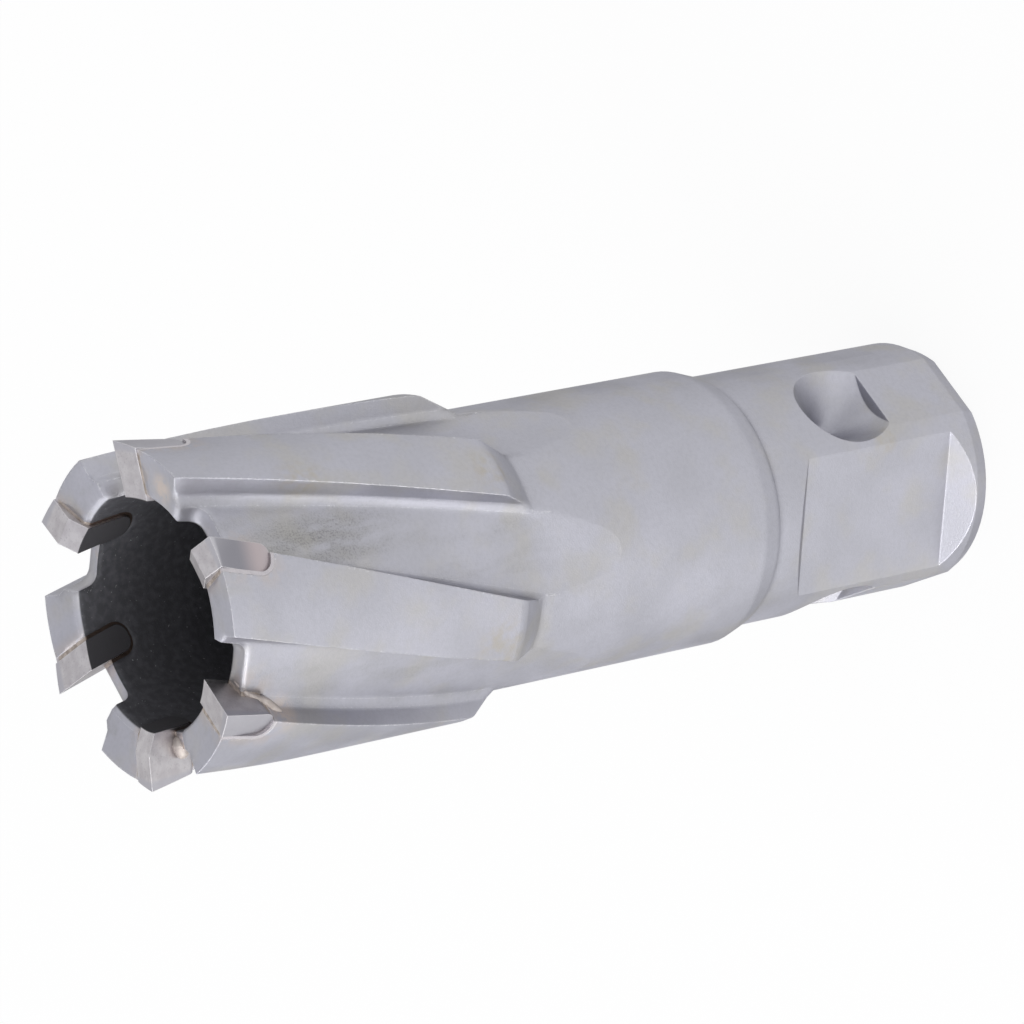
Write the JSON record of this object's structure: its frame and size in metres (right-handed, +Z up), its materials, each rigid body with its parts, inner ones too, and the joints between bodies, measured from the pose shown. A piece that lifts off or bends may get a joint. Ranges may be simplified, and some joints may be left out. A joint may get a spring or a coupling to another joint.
{
  "type": "annular cutter",
  "caption": "Carbide-tipped annular cutter with twisted flutes, a deep slug bore, a through hole for a pilot pin, and a straight shank with set screw flats and ball dimples.",
  "frame": {"origin": "centre of the shank's end face", "axes": "+Z up the cutter's axis from the shank end to the teeth, -Y out of the set screw flat that the picture shows"},
  "size_m": [0.0244, 0.0242, 0.0718],
  "materials": {
    "steel": "fine satin, blasted",
    "carbide": "ground",
    "solder": "dull"
  },
  "bodies": {
    "root": {"cutter_body": "steel", "carbide_tip_1": "carbide", "carbide_tip_2": "carbide", "carbide_tip_3": "carbide", "carbide_tip_4": "carbide", "carbide_tip_5": "carbide", "carbide_tip_6": "carbide", "solder_seam_1": "solder", "solder_seam_2": "solder", "solder_seam_3": "solder", "solder_seam_4": "solder", "solder_seam_5": "solder", "solder_seam_6": "solder"}
  },
  "joints": []
}
